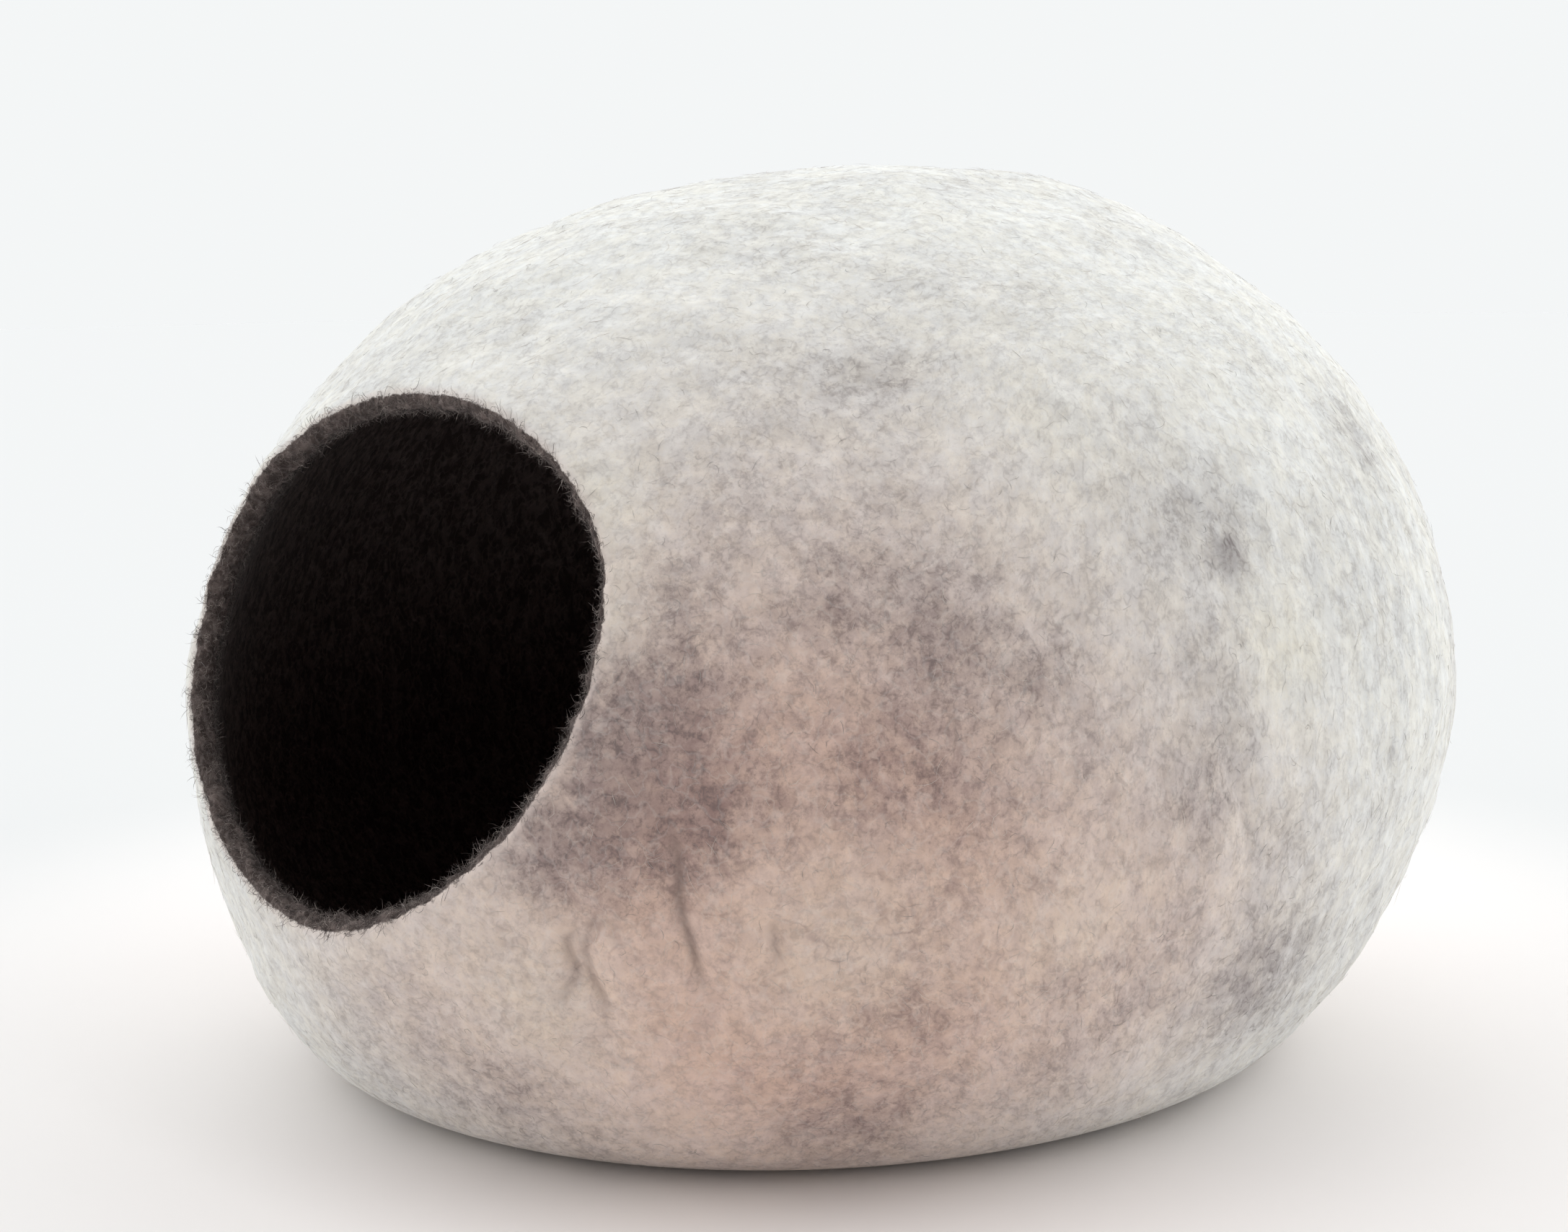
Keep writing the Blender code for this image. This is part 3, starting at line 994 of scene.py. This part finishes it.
# How the fibres differ: their length, thickness, lift, curl, and turn from node to node.
LENGTH_SPREAD = (0.55, 1.35)
THICKNESS_SPREAD = (0.75, 1.35)
LIFT_SPREAD = (0.1, 1.0)
LIFT_SCALE = 1.6
CURL_SPREAD = 0.5
TURN_SPREAD = 0.25

# Shape of a fibre: how far it arches off the wool, how late its tip lifts, the stretch of a
# half wave that its thickness follows, and the turn of its tube in shares of a side.
FIBRE_ARCH = 0.00012
TIP_POWER = 1.6
TAPER_START = 0.18
TAPER_STRETCH = 0.64
TUBE_TURN = 0.25

# Nudges that keep two directions from lying exactly along one another.
UPRIGHT = np.array([0.0, 0.0, 1.0]) + 1e-4
NORMAL_NUDGE = 1e-5

# Wool of the fibres, and the detail, roughness and distortion of its noise.
FIBRE_WOOLS = {
    # name: dull colour, bright colour, spacing of the changes between them
    "pale": ((0.58, 0.52, 0.48), (0.74, 0.70, 0.66), 0.004),
    "grey": ((0.26, 0.245, 0.25), (0.46, 0.43, 0.42), 0.005),
    "charcoal": ((0.058, 0.045, 0.041), (0.15, 0.12, 0.11), 0.004),
    "ash": ((0.14, 0.11, 0.105), (0.42, 0.36, 0.33), 0.003),
}
FIBRE_NOISE = (2.0, 0.6, 0.5)
FIBRE_RANGE = (0.38, 0.62)


def zone_cells(zone):
    """First and last ring of the zone that fibres are laid on."""
    if zone in ("outer", "grey"):
        return 0, OUTER_RINGS + 1
    if zone == "rim":
        return OUTER_RINGS + 1, FIRST_INNER_RING + 2
    return FIRST_INNER_RING, FIRST_INNER_RING + INNER_RINGS * 3 // 4


def lay_roots(grid, zone, count, draw):
    """Random points and normals, spread evenly over a zone of the grid."""
    first, last = zone_cells(zone)
    near = grid[first:last]
    far = grid[first + 1:last + 1]
    corner = np.stack([near, np.roll(near, -1, 1), np.roll(far, -1, 1), far], 2)
    spanned = np.cross(corner[:, :, 2] - corner[:, :, 0], corner[:, :, 3] - corner[:, :, 1])
    weight = np.linalg.norm(spanned, axis=-1)
    if zone == "grey":
        patches = np.clip(spots(corner.mean(2), GREY_PATCHES), 0.0, 1.0)
        weight = weight * (GREY_ELSEWHERE + patches)
    weight = weight * (corner.mean(2)[..., 2] > LOWEST_ROOT)
    cell = draw.choice(weight.size, count, p=(weight / weight.sum()).ravel())
    corner = corner.reshape(-1, 4, 3)[cell]
    across, along = draw.uniform(size=(2, count, 1))
    start = corner[:, 0] * (1.0 - across) + corner[:, 1] * across
    end = corner[:, 3] * (1.0 - across) + corner[:, 2] * across
    point = start * (1.0 - along) + end * along
    normal = unit(spanned.reshape(-1, 3)[cell])
    return point, normal


def surface_axes(normal):
    """Level and rising directions along the skin at each normal."""
    side = unit(np.cross(normal, UPRIGHT))
    return side, np.cross(side, normal)


def wool_headings(point, draw):
    """Random headings, upright where the wool was rubbed upright."""
    upright = draw.uniform(size=len(point)) < UPRIGHT_SHARE * streak_share(point)
    spread = np.where(upright, UPRIGHT_SPREAD, FREE_SPREAD)
    heading = np.pi / 2.0 + spread * draw.uniform(-1.0, 1.0, len(point))
    return heading + np.pi * draw.integers(0, 2, len(point))


def fibre_paths(point, normal, length, lift, curl, draw):
    """Curly paths that leave the wool, run along it and end a little above it."""
    count = len(point)
    side, rise = surface_axes(normal)
    heading = wool_headings(point, draw)
    bend = curl * 2.0 * np.pi * draw.normal(0.0, CURL_SPREAD, count)
    step = length * draw.uniform(*LENGTH_SPREAD, count) / (FIBRE_NODES - 1)
    tip = lift * draw.uniform(*LIFT_SPREAD, count) ** 2 * LIFT_SCALE
    places = [point - normal * FIBRE_ROOT_DEPTH]
    for _node in range(1, FIBRE_NODES):
        heading = heading + bend / (FIBRE_NODES - 1) + draw.normal(0.0, TURN_SPREAD, count)
        ahead = np.cos(heading)[:, None] * side + np.sin(heading)[:, None] * rise
        places.append(places[-1] + ahead * step[:, None])
    share = np.linspace(0.0, 1.0, FIBRE_NODES)
    arch = FIBRE_ARCH * np.sin(np.pi * share)
    heights = arch[None, :] + tip[:, None] * share[None, :] ** TIP_POWER
    return np.stack(places, 1) + normal[:, None, :] * heights[..., None]


def tube_points(paths, normal, radius, draw):
    """Points of thin tubes along the paths, that taper to a point at both ends."""
    count = len(paths)
    ahead = unit(paths[:, 2:] - paths[:, :-2])
    side = unit(np.cross(ahead, normal[:, None, :] + NORMAL_NUDGE))
    over = np.cross(side, ahead)
    stretch = TAPER_START + TAPER_STRETCH * np.linspace(0.0, 1.0, FIBRE_NODES - 2)
    taper = np.sin(np.pi * stretch)
    thick = radius * draw.uniform(*THICKNESS_SPREAD, count)[:, None] * taper[None, :]
    turns = 2.0 * np.pi * (np.arange(FIBRE_SIDES) + TUBE_TURN) / FIBRE_SIDES
    sideways = np.cos(turns)[:, None] * side[:, :, None, :]
    outwards = np.sin(turns)[:, None] * over[:, :, None, :]
    rings = paths[:, 1:-1, None, :] + (sideways + outwards) * thick[..., None, None]
    return np.concatenate([paths[:, :1], rings.reshape(count, -1, 3), paths[:, -1:]], 1)


def tube_faces(last_point):
    """Faces of one tube, whose two tips are its first and its last point."""
    sides = np.arange(FIBRE_SIDES)
    after = (sides + 1) % FIBRE_SIDES
    last_ring = 1 + FIBRE_SIDES * (FIBRE_NODES - 3)
    faces = []
    for spot, follow in zip(sides, after):
        faces.append((0, 1 + follow, 1 + spot))
        faces.append((last_point, last_ring + spot, last_ring + follow))
        for start in range(1, last_ring, FIBRE_SIDES):
            ahead_start = start + FIBRE_SIDES
            faces.append((start + spot, start + follow, ahead_start + follow))
            faces.append((start + spot, ahead_start + follow, ahead_start + spot))
    return np.array(faces)


def fibre_tubes(paths, normal, radius, draw):
    """Points and faces of all the fibres of a piece."""
    points = tube_points(paths, normal, radius, draw)
    count, per_fibre = points.shape[:2]
    starts = np.arange(count) * per_fibre
    faces = tube_faces(per_fibre - 1)[None] + starts[:, None, None]
    return points.reshape(-1, 3), faces.reshape(-1, 3)


def build_fibres(grid, moved):
    """All pieces of loose fibre."""
    materials = {
        name: fibre_material(f"{name}_fibre", *look) for name, look in FIBRE_WOOLS.items()
    }
    made = []
    for name, zone, count, length, radius, lift, curl, seed, wool in FIBRES:
        draw = np.random.default_rng(seed)
        point, normal = lay_roots(grid, zone, count, draw)
        paths = fibre_paths(point, normal, length, lift, curl, draw)
        points, faces = fibre_tubes(paths, normal, radius, draw)
        points = points + moved
        points[:, 2] = np.maximum(points[:, 2], LOWEST_FIBRE)
        mesh = bpy.data.meshes.new(name)
        mesh.from_pydata(points.tolist(), [], faces.tolist())
        mesh.shade_smooth()
        mesh.materials.append(materials[wool])
        piece = bpy.data.objects.new(name, mesh)
        bpy.context.scene.collection.objects.link(piece)
        made.append(piece)
    return made


# ---------------------------------------------------------------- stage, light and camera

# The camera: its place, the way that it looks, its roll in degrees, and its lens, given as
# the full frame's width and the focal length in pixels.
CAMERA_PLACE = (0.6178, -0.6633, 0.2833)
CAMERA_AHEAD = (-0.68441, 0.71555, -0.13988)
CAMERA_ROLL = -0.6345
SENSOR_WIDTH = 36.0
IMAGE_WIDTH = 2174
FOCAL_PIXELS = 3300.0

# Width of the floor, and the colour behind it.
FLOOR_SIZE = 30.0
BACKDROP = (0.905, 0.922, 0.925)

# The floor: its two colours near the cave, the spacing and detail of the change between
# them, its colour far off, and the distances between which it turns to that. Near the cave
# it is painted lighter and faintly pink: painted light that thins out the cave's shadow
# and tints it pink.
FLOOR_NEAR_PAINTED_LIGHT = ((0.870, 0.845, 0.840), (0.890, 0.868, 0.863))
FLOOR_NOISE = (0.35, 3.0)
FLOOR_FAR = (0.708, 0.718, 0.725)
FLOOR_PAINTED_LIGHT_FADE = (0.24, 0.55)

SKY_LOBES = [
    # name, direction as (away from the camera, right, up), where it starts and is full, light
    ("high", (0.45, 0.12, 0.88), 0.30, 0.90, (1.270, 1.300, 1.310)),
    ("far left", (0.58, -0.58, 0.57), 0.30, 0.90, (0.320, 0.325, 0.325)),
    ("left", (0.0, -1.0, 0.0), 0.30, 0.90, (1.430, 1.390, 1.350)),
    ("right", (0.0, 1.0, 0.0), 0.30, 0.90, (1.710, 1.670, 1.620)),
]


def build_floor():
    """A pale floor, painted lighter and faintly pink near the cave to thin out and tint its shadow."""
    mesh = bpy.data.meshes.new("floor")
    half = FLOOR_SIZE / 2.0
    corners = [(-half, -half, 0.0), (half, -half, 0.0), (half, half, 0.0), (-half, half, 0.0)]
    mesh.from_pydata(corners, [], [(0, 1, 2, 3)])
    material, tree, shader = new_material("pale_floor")
    place = own_place(tree)
    near = blend(tree, noise(tree, place, *FLOOR_NOISE), *FLOOR_NEAR_PAINTED_LIGHT)
    away = vector_arith(tree, "LENGTH", place).outputs["Value"]
    share = ramp(tree, away, *FLOOR_PAINTED_LIGHT_FADE)
    plug(tree, shader.inputs["Base Color"], blend(tree, share, near, FLOOR_FAR))
    set_finish(shader, FLOOR_FINISH)
    mesh.materials.append(material)
    floor = bpy.data.objects.new("floor", mesh)
    bpy.context.scene.collection.objects.link(floor)


def build_world():
    """Soft white light from the sides, the far side and above. The near side stays dim."""
    world = bpy.data.worlds.new("studio")
    bpy.context.scene.world = world
    world.use_nodes = True
    tree = world.node_tree
    place = tree.nodes.new("ShaderNodeTexCoord").outputs["Generated"]
    away = Vector((CAMERA_AHEAD[0], CAMERA_AHEAD[1], 0.0)).normalized()
    right = Vector((away.y, -away.x, 0.0))
    light = (0.0, 0.0, 0.0)
    for _name, lobe, start, full, colour in SKY_LOBES:
        axis = (away * lobe[0] + right * lobe[1] + Vector((0.0, 0.0, lobe[2]))).normalized()
        facing = vector_arith(tree, "DOT_PRODUCT", place, axis).outputs["Value"]
        share = ramp(tree, facing, start, full)
        light = vector_arith(tree, "MULTIPLY_ADD", share, colour, light).outputs["Vector"]
    seen = tree.nodes.new("ShaderNodeLightPath").outputs["Is Camera Ray"]
    colour = blend(tree, seen, light, BACKDROP)
    plug(tree, tree.nodes["Background"].inputs["Color"], colour)


def build_camera():
    """The camera at the photo's angle."""
    data = bpy.data.cameras.new("camera")
    data.sensor_width = SENSOR_WIDTH
    data.lens = FOCAL_PIXELS / IMAGE_WIDTH * SENSOR_WIDTH
    camera = bpy.data.objects.new("camera", data)
    camera.location = CAMERA_PLACE
    ahead = Vector(CAMERA_AHEAD).normalized()
    level = ahead.to_track_quat("-Z", "Y")
    roll = Quaternion((0.0, 0.0, 1.0), np.radians(CAMERA_ROLL))
    camera.rotation_mode = "QUATERNION"
    camera.rotation_quaternion = level @ roll
    bpy.context.scene.collection.objects.link(camera)
    bpy.context.scene.camera = camera


# ---------------------------------------------------------------- put together

bpy.context.scene.view_settings.view_transform = "Standard"
build_camera()
build_world()
build_floor()

grid, poles = shell_grid()
moved = to_cad_box(grid)
shell = build_shell(grid, poles, moved)
fibres = build_fibres(grid, moved)

for piece in [shell, *fibres]:
    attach(piece, "root")
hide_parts("felt_shell")
